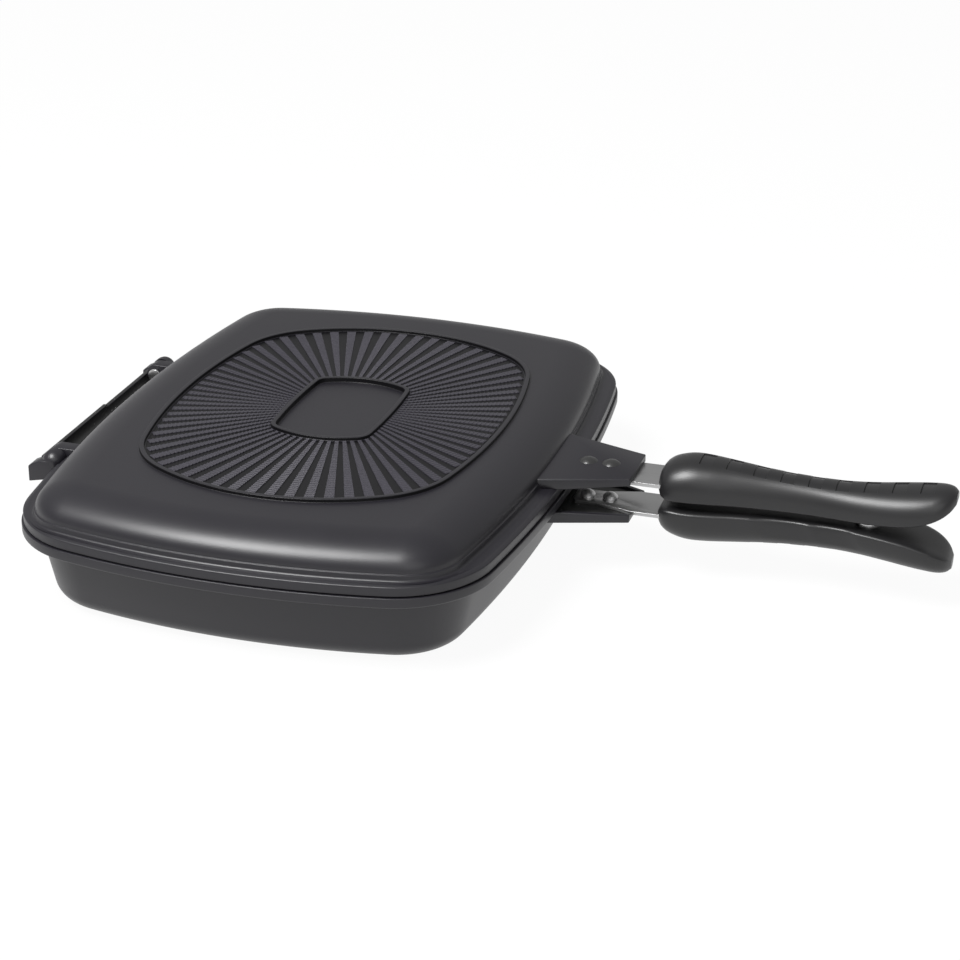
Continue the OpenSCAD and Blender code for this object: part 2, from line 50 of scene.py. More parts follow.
# A node's output that takes + - * / and the like.
class Wire:
    def __init__(self, graph, socket):
        self.graph = graph
        self.socket = socket

    def math(self, operation, *others):
        values = {0: self}
        for place, other in enumerate(others):
            values[place + 1] = other
        return self.graph.node("ShaderNodeMath", {"operation": operation}, values)

    def __add__(self, other): return self.math("ADD", other)
    def __radd__(self, other): return self.math("ADD", other)
    def __mul__(self, other): return self.math("MULTIPLY", other)
    def __rmul__(self, other): return self.math("MULTIPLY", other)
    def __lt__(self, other): return self.math("LESS_THAN", other)
    def __gt__(self, other): return self.math("GREATER_THAN", other)
    def atMost(self, other): return self.math("MINIMUM", other)


class Graph:
    def __init__(self, tree):
        self.tree = tree
        tree.nodes.clear()

    def node(self, kind, settings=None, values=None, out=0):
        made = self.tree.nodes.new(kind)
        for name, value in (settings or {}).items():
            setattr(made, name, value)
        for name, value in (values or {}).items():
            if isinstance(value, Wire):
                self.tree.links.new(value.socket, made.inputs[name])
            else:
                made.inputs[name].default_value = value
        return Wire(self, made.outputs[out]) if len(made.outputs) else made

    def places(self, scale=(1, 1, 1), turn=0.0):
        objectPlaces = self.node("ShaderNodeTexCoord", out="Object")
        return self.node("ShaderNodeMapping", values={
            "Vector": objectPlaces, "Scale": scale, "Rotation": (0, 0, turn)})

    def noise(self, scale, detail=2.0, stretch=(1, 1, 1), turn=0.0):
        return self.node("ShaderNodeTexNoise", values={
            "Vector": self.places(stretch, turn), "Scale": scale, "Detail": detail})

    def blend(self, factor, first, second):
        return self.node("ShaderNodeMix", {"data_type": "RGBA"}, {
            0: factor, 6: first, 7: second}, out=2)

    # A value that wanders about its middle; a swing is a (wire, width).
    def around(self, middle, *swings):
        total = middle - sum(width for _, width in swings) / 2
        for wire, width in swings:
            total = wire * width + total
        return total

    def bump(self, height, strength, depth):
        return self.node("ShaderNodeBump", values={
            "Height": height, "Strength": strength, "Distance": depth})


# A material: constants go on the shader's own sockets, build gives what varies.
def finishOf(name, build, **constants):
    material = bpy.data.materials.new(name)
    material.use_nodes = True
    graph = Graph(material.node_tree)
    shader = material.node_tree.nodes.new("ShaderNodeBsdfPrincipled")
    output = material.node_tree.nodes.new("ShaderNodeOutputMaterial")
    material.node_tree.links.new(shader.outputs[0], output.inputs[0])
    for socket, value in constants.items():
        shader.inputs[socket.replace("_", " ")].default_value = value
    for socket, value in build(graph).items():
        material.node_tree.links.new(value.socket, shader.inputs[socket])
    return material


def grey(level, tint=0.0):
    return (level, level * (1 - tint * 0.3), level * (1 + tint), 1)


# A darker copy of the coating is painted shade on the ridges' walls and the ground between them.
# A lighter copy of the coating is painted light on the rays' pads and ribs.
paint = {"dark": 0.008, "light": 0.011, "tint": 0.25, "rough": 0.385, "grainScale": 1500,
         "cloudScale": 38, "gloss": 0.5, "ray": 2.6, "rayGloss": 0.6, "paintedShadeShare": 0.25, "paintedShadeGloss": 0.2,
         "swing": (0.06, 0.05), "bump": (0.22, 0.00012)}


# The pans' coating; share makes it lighter or darker: painted light on the rays and painted shade by the
# ridges.
def coatOf(share):
    def build(graph):
        clouds = graph.noise(paint["cloudScale"], 3)
        grain = graph.noise(paint["grainScale"], 3)
        return {
            "Base Color": graph.blend(clouds * 0.6 + grain * 0.4,
                                      grey(paint["dark"] * share, paint["tint"]),
                                      grey(paint["light"] * share, paint["tint"])),
            "Roughness": graph.around(paint["rough"], *zip((clouds, grain), paint["swing"])),
            "Normal": graph.bump(grain, *paint["bump"])}
    return build


nonStick = {"base": 0.010, "fleck": 0.55, "cell": 520, "share": 0.42, "size": 0.19,
            "smallest": 0.05, "dimmest": 0.2, "grainScale": 1300, "swing": 0.12, "rough": 0.42,
            "proud": 0.6, "bump": (0.25, 0.00012)}


def flecked(graph):
    cells = {"Vector": graph.places(), "Scale": nonStick["cell"]}
    near = graph.node("ShaderNodeTexVoronoi", values=cells, out="Distance")
    chance = graph.node("ShaderNodeTexVoronoi", values=cells, out="Color")
    pick = graph.node("ShaderNodeSeparateColor", values={0: chance}, out=0)
    bright = graph.node("ShaderNodeSeparateColor", values={0: chance}, out=1)
    fleck = (near < pick * nonStick["size"] + nonStick["smallest"]) * (pick < nonStick["share"])
    grain = graph.noise(nonStick["grainScale"], 3)
    level = bright * (1 - nonStick["dimmest"]) + nonStick["dimmest"]
    return {
        "Base Color": graph.blend(fleck * level, grey(nonStick["base"]),
                                  grey(nonStick["fleck"])),
        "Roughness": graph.around(nonStick["rough"], (grain, nonStick["swing"])),
        "Normal": graph.bump(grain + fleck * nonStick["proud"], *nonStick["bump"])}


steel = {"level": 0.50, "dim": 0.82, "lit": 1.12, "rough": 0.34, "along": 22, "across": 2600,
         "cloudScale": 70, "swing": (0.16, 0.06), "bump": (0.12, 0.00008)}


def brushed(graph):
    streaks = graph.noise(1.0, 3, (steel["along"], steel["across"], steel["across"]))
    clouds = graph.noise(steel["cloudScale"], 2)
    return {
        "Base Color": graph.blend(streaks * 0.7 + clouds * 0.3, grey(steel["level"] * steel["dim"]),
                                  grey(steel["level"] * steel["lit"])),
        "Roughness": graph.around(steel["rough"], *zip((streaks, clouds), steel["swing"])),
        "Normal": graph.bump(streaks, *steel["bump"])}


metal = {"cloudScale": 120, "dim": 0.88, "swing": (0.10, 0.06), "bump": (0.10, 0.00006)}


def metalOf(level, rough, scale=900):
    def build(graph):
        marks = graph.noise(scale, 3)
        clouds = graph.noise(metal["cloudScale"], 2)
        return {
            "Base Color": graph.blend(clouds, grey(level * metal["dim"]), grey(level)),
            "Roughness": graph.around(rough, *zip((marks, clouds), metal["swing"])),
            "Normal": graph.bump(marks, *metal["bump"])}
    return build


phenolic = {"dark": 0.0085, "light": 0.0115, "tint": 0.05, "rough": 0.37,
            "cloudScale": 30, "grainScale": 1900, "swing": (0.06, 0.08), "bump": (0.18, 0.00009)}


def moulded(graph):
    clouds = graph.noise(phenolic["cloudScale"], 2)
    grain = graph.noise(phenolic["grainScale"], 2)
    return {
        "Base Color": graph.blend(clouds, grey(phenolic["dark"], phenolic["tint"]),
                                  grey(phenolic["light"], phenolic["tint"])),
        "Roughness": graph.around(phenolic["rough"], *zip((grain, clouds), phenolic["swing"])),
        "Normal": graph.bump(grain, *phenolic["bump"])}


rubber = {"dark": 0.024, "light": 0.034, "grainScale": 1400, "rough": 0.55, "swing": 0.1,
          "bump": (0.2, 0.0001)}


def rubbery(graph):
    grain = graph.noise(rubber["grainScale"], 2)
    return {
        "Base Color": graph.blend(grain, grey(rubber["dark"]), grey(rubber["light"])),
        "Roughness": graph.around(rubber["rough"], (grain, rubber["swing"])),
        "Normal": graph.bump(grain, *rubber["bump"])}


finishes = {
    "castPaint": finishOf("castPaint", coatOf(1.0), Specular_IOR_Level=paint["gloss"]),
    # A lighter copy of the coating, painted light on the rays.
    "rayPaint": finishOf("rayPaint", coatOf(paint["ray"]), Specular_IOR_Level=paint["rayGloss"]),
    # A darker copy of the coating, painted shade on the ridges' walls and the ground between the ring and the
    # centre.
    "creasePaint": finishOf("creasePaint", coatOf(paint["paintedShadeShare"]),
                            Specular_IOR_Level=paint["paintedShadeGloss"]),
    "nonStick": finishOf("nonStick", flecked, Specular_IOR_Level=0.5),
    "steel": finishOf("satinSteel", brushed, Metallic=1.0),
    "brightRivet": finishOf("brightRivet", metalOf(0.93, 0.42), Metallic=1.0),
    "darkRivet": finishOf("darkRivet", metalOf(0.02, 0.30), Specular_IOR_Level=0.6),
    "pinSteel": finishOf("pinSteel", metalOf(0.62, 0.3), Metallic=1.0),
    "zinc": finishOf("zincPlate", metalOf(0.55, 0.36, 500), Metallic=1.0),
    "nickel": finishOf("nickelPlate", metalOf(0.66, 0.22), Metallic=1.0),
    "phenolic": finishOf("mouldedPhenolic", moulded, Specular_IOR_Level=0.5),
    "silicone": finishOf("siliconeRubber", rubbery, Specular_IOR_Level=0.35),
}
print("finishes made:", len(finishes))


def meshPiece(name, points, faces, materials, indices=None, sharp=35):
    mesh = bpy.data.meshes.new(name)
    mesh.from_pydata([[value / 1000 for value in point] for point in points], [], faces)
    for material in materials:
        mesh.materials.append(finishes[material])
    if indices is not None:
        mesh.polygons.foreach_set("material_index", indices)
    return setUp(name, mesh, sharp)


def linked(name, data):
    item = bpy.data.objects.new(name, data)
    bpy.context.scene.collection.objects.link(item)
    return item


def setUp(name, mesh, sharp=35):
    mesh.polygons.foreach_set("use_smooth", [True] * len(mesh.polygons))
    mesh.set_sharp_from_angle(angle=math.radians(sharp))
    mesh.validate()
    mesh.update()
    return linked(name, mesh)


# Rounds the sharp edges of a piece, in its mesh.
def bevelled(piece, width, sharp=35, segments=3):
    body = bmesh.new()
    body.from_mesh(piece.data)
    bmesh.ops.remove_doubles(body, verts=body.verts, dist=0.000002)
    bmesh.ops.dissolve_limit(body, angle_limit=math.radians(1), verts=body.verts, edges=body.edges)
    edges = [edge for edge in body.edges
             if len(edge.link_faces) == 2 and edge.calc_face_angle() > math.radians(sharp)]
    bmesh.ops.bevel(body, geom=edges, offset=width / 1000, segments=segments, profile=0.5,
                    affect="EDGES", clamp_overlap=True, harden_normals=False)
    bmesh.ops.recalc_face_normals(body, faces=body.faces)
    body.to_mesh(piece.data)
    body.free()
    mesh = piece.data
    mesh.polygons.foreach_set("use_smooth", [True] * len(mesh.polygons))
    mesh.set_sharp_from_angle(angle=math.radians(40))
    mesh.update()
    return piece


def place(piece, body, slot, *nodes):
    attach(piece, body)
    if nodes:
        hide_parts(*nodes)
    return piece


def arc(centre, radius, first, last, steps):
    turns = [math.radians(first + (last - first) * step / steps) for step in range(steps + 1)]
    return [(centre[0] + radius * math.cos(turn), centre[1] + radius * math.sin(turn)) for turn in turns]


# A rounded rectangle of arcs, as a row of points that an inset moves in.
class Outline:
    def __init__(self, halfX, halfY, frontBow, sideBow, cornerR, middleX=0.0, steps=(22, 18, 20)):
        self.sizes = (halfX, halfY, frontBow, sideBow, cornerR, middleX)
        frontR = (halfY ** 2 + frontBow ** 2) / (2 * frontBow)
        sideR = (halfX ** 2 + sideBow ** 2) / (2 * sideBow)
        front = np.array([halfX - frontR, 0.0])
        side = np.array([0.0, halfY - sideR])
        between = side - front
        apart = np.hypot(*between)
        reach = ((frontR - cornerR) ** 2 - (sideR - cornerR) ** 2 + apart ** 2) / (2 * apart)
        rise = math.sqrt((frontR - cornerR) ** 2 - reach ** 2)
        corner = front + between / apart * reach + np.array([-between[1], between[0]]) / apart * rise
        turnIn = math.atan2(*(corner - front)[::-1])
        turnOut = math.atan2(*(corner - side)[::-1])
        rows = []
        for centre, radius, first, last, count in (
                (front, frontR, 0, turnIn, steps[0]), (corner, cornerR, turnIn, turnOut, steps[1]),
                (side, sideR, turnOut, math.pi / 2, steps[2])):
            for step in range(0 if not rows else 1, count + 1):
                turn = first + (last - first) * step / count
                rows.append((centre[0], centre[1], radius, math.cos(turn), math.sin(turn)))
        quarter = np.array(rows)
        self.frontR = frontR
        self.rows = np.vstack([
            quarter[:-1], quarter[:0:-1] * (-1, 1, 1, -1, 1),
            quarter[:-1] * (-1, -1, 1, -1, -1), quarter[:0:-1] * (1, -1, 1, 1, -1)])

    def at(self, inset):
        rows = self.rows
        return np.stack([rows[:, 0] + (rows[:, 2] - inset) * rows[:, 3] + self.sizes[5],
                         rows[:, 1] + (rows[:, 2] - inset) * rows[:, 4]], 1)

    def grown(self, step):
        halfX, halfY, frontBow, sideBow, cornerR, middleX = self.sizes
        return Outline(halfX + step, halfY + step, frontBow, sideBow, cornerR + step, middleX)

    # How far the front or back has curved away at y.
    def recede(self, y):
        return self.frontR - math.sqrt(self.frontR ** 2 - y ** 2)

    # Distance from a middle point to the outline, in the direction of turn.
    def reach(self, inset, turn, middle):
        points = self.at(inset) - np.array(middle)
        turns = np.arctan2(points[:, 1], points[:, 0])
        order = np.argsort(turns)
        return float(np.interp(turn, turns[order], np.hypot(*points.T)[order], period=2 * math.pi))


# A section with rounded corners, from (inset, height) or (inset, height, radius).
def softened(points, steps=4):
    path = []
    for place, point in enumerate(points):
        radius = point[2] if len(point) > 2 else 0
        if not radius or place in (0, len(points) - 1):
            path.append(tuple(point[:2]))
            continue
        here = Vector(point[:2])
        toLast = (Vector(points[place - 1][:2]) - here)
        toNext = (Vector(points[place + 1][:2]) - here)
        half = toLast.angle(toNext) / 2
        length = min(radius / math.tan(half), toLast.length * 0.49, toNext.length * 0.49)
        radius = length * math.tan(half)
        middle = here + (toLast.normalized() + toNext.normalized()).normalized() * radius / math.sin(half)
        start = here + toLast.normalized() * length - middle
        finish = here + toNext.normalized() * length - middle
        turn = start.angle_signed(finish)
        for step in range(steps + 1):
            path.append(tuple(middle + Matrix.Rotation(-turn * step / steps, 2) @ start))
    return path


# Faces between two rings of points.
def band(below, above, count):
    return [(below + step, below + (step + 1) % count, above + (step + 1) % count, above + step)
            for step in range(count)]


# Skins rows of (outline, inset, height, material); open ends get flat caps.
def loft(name, rows, materials, closed=False, sharp=35):
    count = len(rows[0][0].rows)
    points, faces, indices = [], [], []
    for outline, inset, height, _ in rows:
        points += [(x, y, height) for x, y in outline.at(inset)]
    for row in range(len(rows) - (0 if closed else 1)):
        faces += band(row * count, (row + 1) % len(rows) * count, count)
        indices += [rows[row][3]] * count
    if not closed:
        faces.append(tuple(range(count))[::-1])
        indices.append(rows[0][3])
        faces.append(tuple(range((len(rows) - 1) * count, len(rows) * count)))
        indices.append(rows[-1][3])
    return turnOutwards(meshPiece(name, points, faces, materials, indices, sharp))


def turnOutwards(piece):
    body = bmesh.new()
    body.from_mesh(piece.data)
    bmesh.ops.recalc_face_normals(body, faces=body.faces)
    body.to_mesh(piece.data)
    body.free()
    return piece


# A flat outline of 3-D points swept by the vector lift.
def prism(name, outline, lift, materials, index=None, sharp=35):
    count = len(outline)
    points = [tuple(point) for point in outline]
    points += [tuple(value + lift[axis] for axis, value in enumerate(point)) for point in outline]
    faces = [tuple(range(count)), tuple(range(2 * count - 1, count - 1, -1))]
    faces += [(step, step + count, (step + 1) % count + count, (step + 1) % count) for step in range(count)]
    indices = [0, 0] + [index(step) if index else 0 for step in range(count)]
    return turnOutwards(meshPiece(name, points, faces, materials, indices, sharp))


# One piece out of several, with its faces as they are.
def joined(name, pieces):
    body = bmesh.new()
    slots = []
    for piece in pieces:
        first = len(body.faces)
        body.from_mesh(piece.data)
        body.faces.ensure_lookup_table()
        for face in body.faces[first:]:
            material = piece.data.materials[face.material_index]
            if material not in slots:
                slots.append(material)
            face.material_index = slots.index(material)
    mesh = bpy.data.meshes.new(name)
    body.to_mesh(mesh)
    body.free()
    for material in slots:
        mesh.materials.append(material)
    for piece in pieces:
        bpy.data.objects.remove(piece)
    return setUp(name, mesh, 40)


# A turned part about Z, from (radius, height) points; points on the axis close it.
def turned(name, profile, materials, steps=48, sharp=35):
    points, faces, rings = [], [], []
    for radius, height in profile:
        start = len(points)
        if radius < 0.001:
            points.append((0, 0, height))
            rings.append([start] * steps)
        else:
            points += [(radius * math.cos(2 * math.pi * step / steps),
                        radius * math.sin(2 * math.pi * step / steps), height) for step in range(steps)]
            rings.append([start + step for step in range(steps)])
    pairs = list(zip(rings, rings[1:]))
    if profile[0][0] > 0.001:
        pairs.append((rings[-1], rings[0]))
    for lower, upper in pairs:
        for step in range(steps):
            after = (step + 1) % steps
            face = list(dict.fromkeys([lower[step], lower[after], upper[after], upper[step]]))
            if len(face) > 2:
                faces.append(face)
    return turnOutwards(meshPiece(name, points, faces, materials, sharp=sharp))


def nodeTree(name, inputs):
    tree = bpy.data.node_groups.new(name, "GeometryNodeTree")
    for label, kind in inputs:
        tree.interface.new_socket(name=label, in_out="INPUT", socket_type=kind)
    tree.interface.new_socket(name="Geometry", in_out="OUTPUT", socket_type="NodeSocketGeometry")
    return tree


def geometryNode(tree, kind, links, **settings):
    made = tree.nodes.new(kind)
    for name, value in settings.items():
        setattr(made, name, value)
    for name, value in links.items():
        if isinstance(value, bpy.types.NodeSocket):
            tree.links.new(value, made.inputs[name])
        else:
            made.inputs[name].default_value = value
    return made


def endTree(tree, copies, finish):
    real = geometryNode(tree, "GeometryNodeRealizeInstances", {"Geometry": copies.outputs[0]})
    painted = geometryNode(tree, "GeometryNodeSetMaterial", {
        "Geometry": real.outputs[0], "Material": finish})
    geometryNode(tree, "NodeGroupOutput", {"Geometry": painted.outputs[0]})
    return tree


# Puts a part at every point of the mesh, as rivets and washers sit in a row.
def setOutTree():
    tree = nodeTree("partsAtPoints", [
        ("Geometry", "NodeSocketGeometry"), ("Part", "NodeSocketObject"),
        ("Finish", "NodeSocketMaterial")])
    given = tree.nodes.new("NodeGroupInput").outputs
    part = geometryNode(tree, "GeometryNodeObjectInfo", {"Object": given["Part"]})
    copies = geometryNode(tree, "GeometryNodeInstanceOnPoints", {
        "Points": given["Geometry"], "Instance": part.outputs["Geometry"]})
    return endTree(tree, copies, given["Finish"])


# Lays ribs along spines that run out from a middle, wider as they run out.
def ribTree():
    tree = nodeTree("ribsAlongRays", [
        ("Geometry", "NodeSocketGeometry"), ("Rib", "NodeSocketObject"), ("Pitch", "NodeSocketFloat"),
        ("Middle", "NodeSocketVector"), ("Spread", "NodeSocketFloat"), ("Finish", "NodeSocketMaterial")])
    given = tree.nodes.new("NodeGroupInput").outputs
    spines = geometryNode(tree, "GeometryNodeMeshToCurve", {"Mesh": given["Geometry"]})
    spaced = geometryNode(tree, "GeometryNodeResampleCurve", {
        "Curve": spines.outputs[0], "Length": given["Pitch"]}, mode="LENGTH")
    rib = geometryNode(tree, "GeometryNodeObjectInfo", {"Object": given["Rib"]})
    tangent = tree.nodes.new("GeometryNodeInputTangent").outputs[0]
    facing = geometryNode(tree, "FunctionNodeAlignRotationToVector", {"Vector": tangent}, axis="X")
    here = tree.nodes.new("GeometryNodeInputPosition").outputs[0]
    outward = geometryNode(tree, "ShaderNodeVectorMath", {0: here, 1: given["Middle"]}, operation="SUBTRACT")
    distance = geometryNode(tree, "ShaderNodeVectorMath", {0: outward.outputs[0]}, operation="LENGTH")
    width = geometryNode(tree, "ShaderNodeMath", {
        0: distance.outputs["Value"], 1: given["Spread"]}, operation="MULTIPLY")
    scale = geometryNode(tree, "ShaderNodeCombineXYZ", {"X": 1.0, "Y": width.outputs[0], "Z": 1.0})
    copies = geometryNode(tree, "GeometryNodeInstanceOnPoints", {
        "Points": spaced.outputs[0], "Instance": rib.outputs["Geometry"],
        "Rotation": facing.outputs[0], "Scale": scale.outputs[0]})
    return endTree(tree, copies, given["Finish"])


# Runs a node tree on a carrier mesh and keeps the result as a plain mesh.
def grownFrom(name, tree, points, edges, values, sharp=35):
    carrier = bpy.data.meshes.new(name + "Carrier")
    carrier.from_pydata([[value / 1000 for value in point] for point in points], edges, [])
    holder = linked(name + "Carrier", carrier)
    modifier = holder.modifiers.new("grow", "NODES")
    modifier.node_group = tree
    sockets = {item.name: item.identifier for item in tree.interface.items_tree if item.in_out == "INPUT"}
    for label, value in values.items():
        modifier[sockets[label]] = value
    graph = bpy.context.evaluated_depsgraph_get()
    mesh = bpy.data.meshes.new_from_object(holder.evaluated_get(graph))
    mesh.name = name
    holder.modifiers.remove(modifier)
    bpy.data.objects.remove(holder)
    return setUp(name, mesh, sharp)


partsAtPoints = setOutTree()
ribsAlongRays = ribTree()

# The castings: a section run round an outline, from the inside of the pan to its outside.
pans = {"halfX": 120.3, "halfY": 155.3, "frontBow": 14.6, "sideBow": 19.8, "cornerR": 46.8,
        "hingeUp": 3.9, "seamGap": 0.5, "rimStep": 0.9, "wall": 3.5,
        "lowerH": 40, "lowerRimH": 4.9, "ledgeInset": 7.6, "ledgeDrop": 1, "ledgeRun": 2.0,
        "ledgeR": 1.6, "ledgeEdgeR": 0.8, "wallDraft": 6.8, "bottomR": 10, "rimR": 0.9,
        "lipR": 0.35, "grooveR": 0.2, "mouthR": 0.8}
seamZ = hinge[2] - pans["hingeUp"]
domeSizes = {"halfX": 113.2, "halfY": 150.5, "frontBow": 15.6, "sideBow": 17.8, "cornerR": 29, "back": 0.4,
             "height": 21.1, "shoulderW": 23, "footH": 8.5, "ledgeW": 0.9, "cavityInset": 3.4,
             "flangeH": 5.6, "bandH": 4.9, "crownW": 2.0, "lipR": 0.7, "crownR": 3,
             "valleyW": 2.6, "valleyR": 2.0, "beadR": 0.3, "underR": 0.35, "mouthR": 0.6, "steps": (18, 36)}
face = {"ring": (84, 110.3, 20.5, 41, 46), "centre": (26.5, 39.5, 2.2, 8.4, 8), "ahead": 2.5,
        "relief": 1.6, "ridgeW": 2.4, "edgeR": 0.35, "ground": 0.6, "centreDepth": 0.8, "padEdge": 0.8,
        "footing": 0.3, "lean": 0.12, "ribEnds": 0.7,
        "rays": 72, "rayShare": 0.5, "padRise": 0.25, "ribRise": 0.3, "ribPitch": 2.0, "ribW": 1.25,
        "outerGap": 1.8, "innerGap": 0.4}
groove = {"inset": 5.2, "width": 3.0, "depth": 2.6, "proud": 0.2, "gap": 0.1}

rim = Outline(pans["halfX"], pans["halfY"], pans["frontBow"], pans["sideBow"], pans["cornerR"])
lowerRim = rim.grown(pans["rimStep"])
dome = Outline(domeSizes["halfX"], domeSizes["halfY"], domeSizes["frontBow"], domeSizes["sideBow"],
               domeSizes["cornerR"], -domeSizes["back"])
ring = Outline(*face["ring"], face["ahead"])
centre = Outline(*face["centre"], face["ahead"])


def rowsOn(outline, path, index=0):
    return [(outline, inset, seamZ + height, index) for inset, height in path]


# The raised ring, from its inner foot to its outer foot.
def ridge(height, rise):
    top, width, edge = height + rise, face["ridgeW"], face["edgeR"]
    return softened([(width + face["ground"], height), (width, height, edge), (width, top, edge),
                     (0, top, edge), (0, height, edge), (-face["ground"], height)], 3)


# A quarter of an oval, from its level top out and down to its upright foot.
def oval(top, foot, steps):
    turns = [math.pi / 2 * step / steps for step in range(steps + 1)]
    return [(top[0] + (foot[0] - top[0]) * math.sin(turn), foot[1] + (top[1] - foot[1]) * math.cos(turn))
            for turn in turns]


def upperRows():
    d = domeSizes
    shoulderTop = d["ledgeW"] + d["shoulderW"]
    cavity = oval((shoulderTop, d["height"] - pans["wall"]),
                  (d["cavityInset"], pans["seamGap"] + pans["wall"]), d["steps"][0]) + softened(
        [(d["cavityInset"], pans["seamGap"] + 2), (d["cavityInset"], pans["seamGap"], d["mouthR"]),
         (d["cavityInset"] - 1.5, pans["seamGap"])])
    flange = softened([(2, pans["seamGap"]), (0, pans["seamGap"], d["underR"]),
                       (0, d["bandH"], d["lipR"]), (d["crownW"], d["flangeH"], d["crownR"]),
                       (d["crownW"] + 1.6, d["flangeH"] - 0.1)], 5)
    foot = softened([(-d["valleyW"], d["flangeH"]), (-0.2, d["flangeH"] + 0.05, d["valleyR"]),
                     (0.25, d["footH"] - 0.1, d["beadR"]), (d["ledgeW"], d["footH"] + 0.1, d["beadR"]),
                     (d["ledgeW"] + 0.15, d["footH"] + 0.9)], 5)
    # The last steps of the oval give way to the bead's own rounding.
    shoulder = oval((shoulderTop, d["height"]), (d["ledgeW"], d["footH"]), d["steps"][1])[:-3][::-1]
    rows = rowsOn(dome, cavity, 1) + rowsOn(rim, flange) + rowsOn(dome, foot) + rowsOn(dome, shoulder)
    rows += rowsOn(ring, ridge(d["height"], face["relief"])[::-1])
    top = d["height"] + face["relief"]
    width, edge, ground = face["ridgeW"], face["edgeR"], d["height"] - face["centreDepth"]
    rows += rowsOn(centre, softened([
        (-face["ground"], d["height"]), (0, d["height"], edge), (0, top, edge), (width, top, edge),
        (width, ground, edge), (width + face["padEdge"], ground)], 3))
    # Shaded rows take the third finish, the darker copy of the coating: painted shade.
    return [row[:3] + (2,) if row[0] in (ring, centre) and inShade(row, after) else row
            for row, after in zip(rows, rows[1:] + rows[-1:])]


# The ridges' upright walls and the ground between them lie in the rays' shade; the darker copy of the coating
# paints that shade there.
def inShade(row, after):
    return row[0] is not after[0] or abs(after[2] - row[2]) > abs(after[1] - row[1])


def lowerRows():
    p = pans
    floorZ = face["relief"] - p["lowerH"]
    top = (p["ledgeInset"] + p["rimStep"], -p["lowerRimH"] - p["ledgeDrop"])
    foot = (top[0] + p["wallDraft"], floorZ)
    lean = math.atan2(top[1] - foot[1], foot[0] - top[0])
    middle = (foot[0] + p["bottomR"] * math.tan(lean / 2), floorZ + p["bottomR"])
    leanTurn = math.degrees(lean)
    rows = rowsOn(centre, softened([(1.5, -p["lowerH"]), (0, -p["lowerH"], face["edgeR"]),
                                    (0, floorZ, face["edgeR"]), (-face["ground"], floorZ)], 3))
    rows += rowsOn(ring, [(inset, floorZ - (height - floorZ)) for inset, height in
                          ridge(floorZ, face["relief"])])
    outer = arc(middle, p["bottomR"], 270, 270 - leanTurn, 14)
    rimEdge = softened([
        (top[0] + 0.1, top[1] - 0.6), (*top, p["ledgeR"]),
        (top[0] - p["ledgeRun"], -p["lowerRimH"], p["ledgeEdgeR"]), (0, -p["lowerRimH"], p["rimR"]),
        (0, 0, p["lipR"]), (groove["inset"], 0, p["grooveR"])], 4)
    far = groove["inset"] + groove["width"]
    seat = [(groove["inset"], 0), (groove["inset"], -groove["depth"]), (far, -groove["depth"]), (far, 0)]
    innerX = top[0] + p["wall"] / math.sin(lean) + top[1] / math.tan(lean)
    rows += rowsOn(lowerRim, outer) + rowsOn(lowerRim, rimEdge) + rowsOn(lowerRim, seat)
    rows += rowsOn(lowerRim, softened([(far + 1, 0), (innerX, 0, p["mouthR"]), (innerX + 0.4, -2)]), 1)
    rows += rowsOn(lowerRim, arc(middle, p["bottomR"] - p["wall"], 270 - leanTurn, 270, 12), 1)
    return rows


upperCasting = loft("upperCasting", upperRows(), ["castPaint", "nonStick", "creasePaint"])
lowerCasting = loft("lowerCasting", lowerRows(), ["castPaint", "nonStick"])
place(upperCasting, "lid", "cast_body", "upper_pan")
place(lowerCasting, "base", "cast_body", "lower_pan")
print("castings made")

sealPath = [(groove["inset"] + groove["gap"], 0.02 - groove["depth"])]
sealPath += arc((groove["inset"] + groove["width"] / 2,
                 groove["proud"] - groove["width"] / 2 + groove["gap"]),
                groove["width"] / 2 - groove["gap"], 180, 0, 10)
sealPath.append((groove["inset"] + groove["width"] - groove["gap"], 0.02 - groove["depth"]))
rimSeal = loft("rimSeal", rowsOn(lowerRim, sealPath), ["silicone"], closed=True)
place(rimSeal, "base", "seal", "rim_seal")


def rayEnds(turn):
    middle = (face["ahead"], 0)
    return (centre.reach(0, turn, middle) + face["innerGap"],
            ring.reach(face["ridgeW"], turn, middle) - face["outerGap"])


